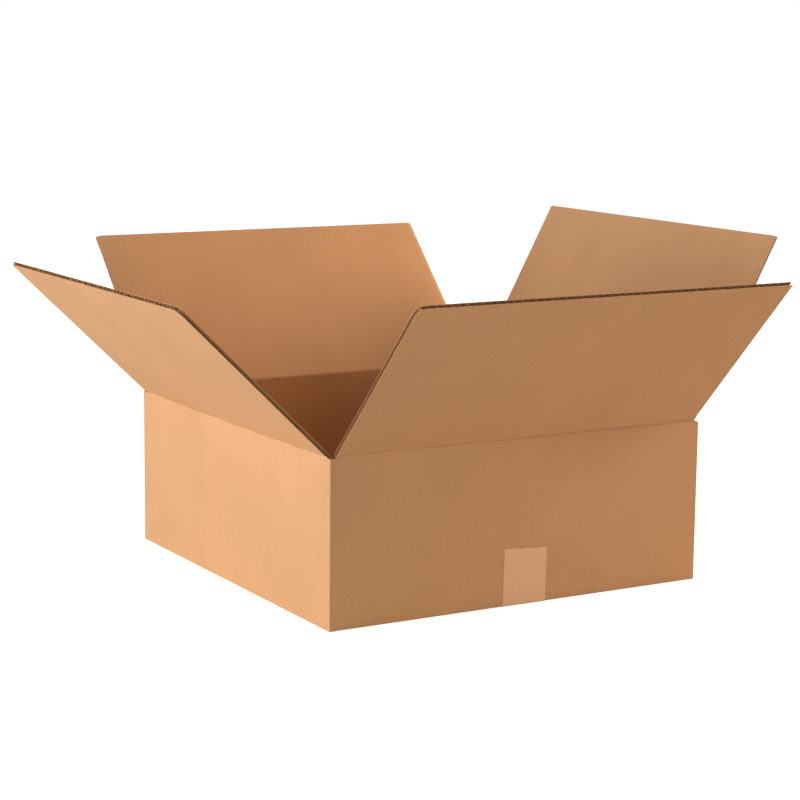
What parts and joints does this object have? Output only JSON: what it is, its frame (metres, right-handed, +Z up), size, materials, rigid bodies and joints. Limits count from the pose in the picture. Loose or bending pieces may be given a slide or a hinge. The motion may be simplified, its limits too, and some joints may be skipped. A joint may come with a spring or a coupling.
{
  "type": "open cardboard box",
  "caption": "Shallow square slotted carton in brown corrugated board, standing open with its hinged top flaps spread and its bottom seam taped shut.",
  "frame": {"origin": "middle of the carton's square base, on the surface it stands on", "axes": "+X runs to the right along the front wall, +Y from the front wall to the back wall, and +Z up out of the open top"},
  "size_m": [0.6576, 0.6975, 0.3397],
  "materials": {
    "kraft_board": "matte",
    "kraft_plies": "matte",
    "kraft_tape": "matte"
  },
  "bodies": {
    "carton": {"carton_body": "kraft_board", "seam_tape": "kraft_tape"},
    "front": {"front_flap": "kraft_plies"},
    "back": {"back_flap": "kraft_plies"},
    "left": {"left_flap": "kraft_plies"},
    "right": {"right_flap": "kraft_plies"}
  },
  "joints": [
    {"name": "front_crease", "type": "hinge", "parent": "carton", "child": "front", "pos_m": [0, -0.2067, 0.1624], "axis": [-1, 0, 0], "range_deg": [-91.7, 133.3]},
    {"name": "back_crease", "type": "hinge", "parent": "carton", "child": "back", "pos_m": [0, 0.2067, 0.1624], "axis": [1, 0, 0], "range_deg": [-90.7, 134.3]},
    {"name": "left_crease", "type": "hinge", "parent": "carton", "child": "left", "pos_m": [-0.2067, 0, 0.1581], "axis": [0, 1, 0], "range_deg": [-89.6, 135.4]},
    {"name": "right_crease", "type": "hinge", "parent": "carton", "child": "right", "pos_m": [0.2067, 0, 0.1581], "axis": [0, -1, 0], "range_deg": [-106.5, 118.5]}
  ]
}
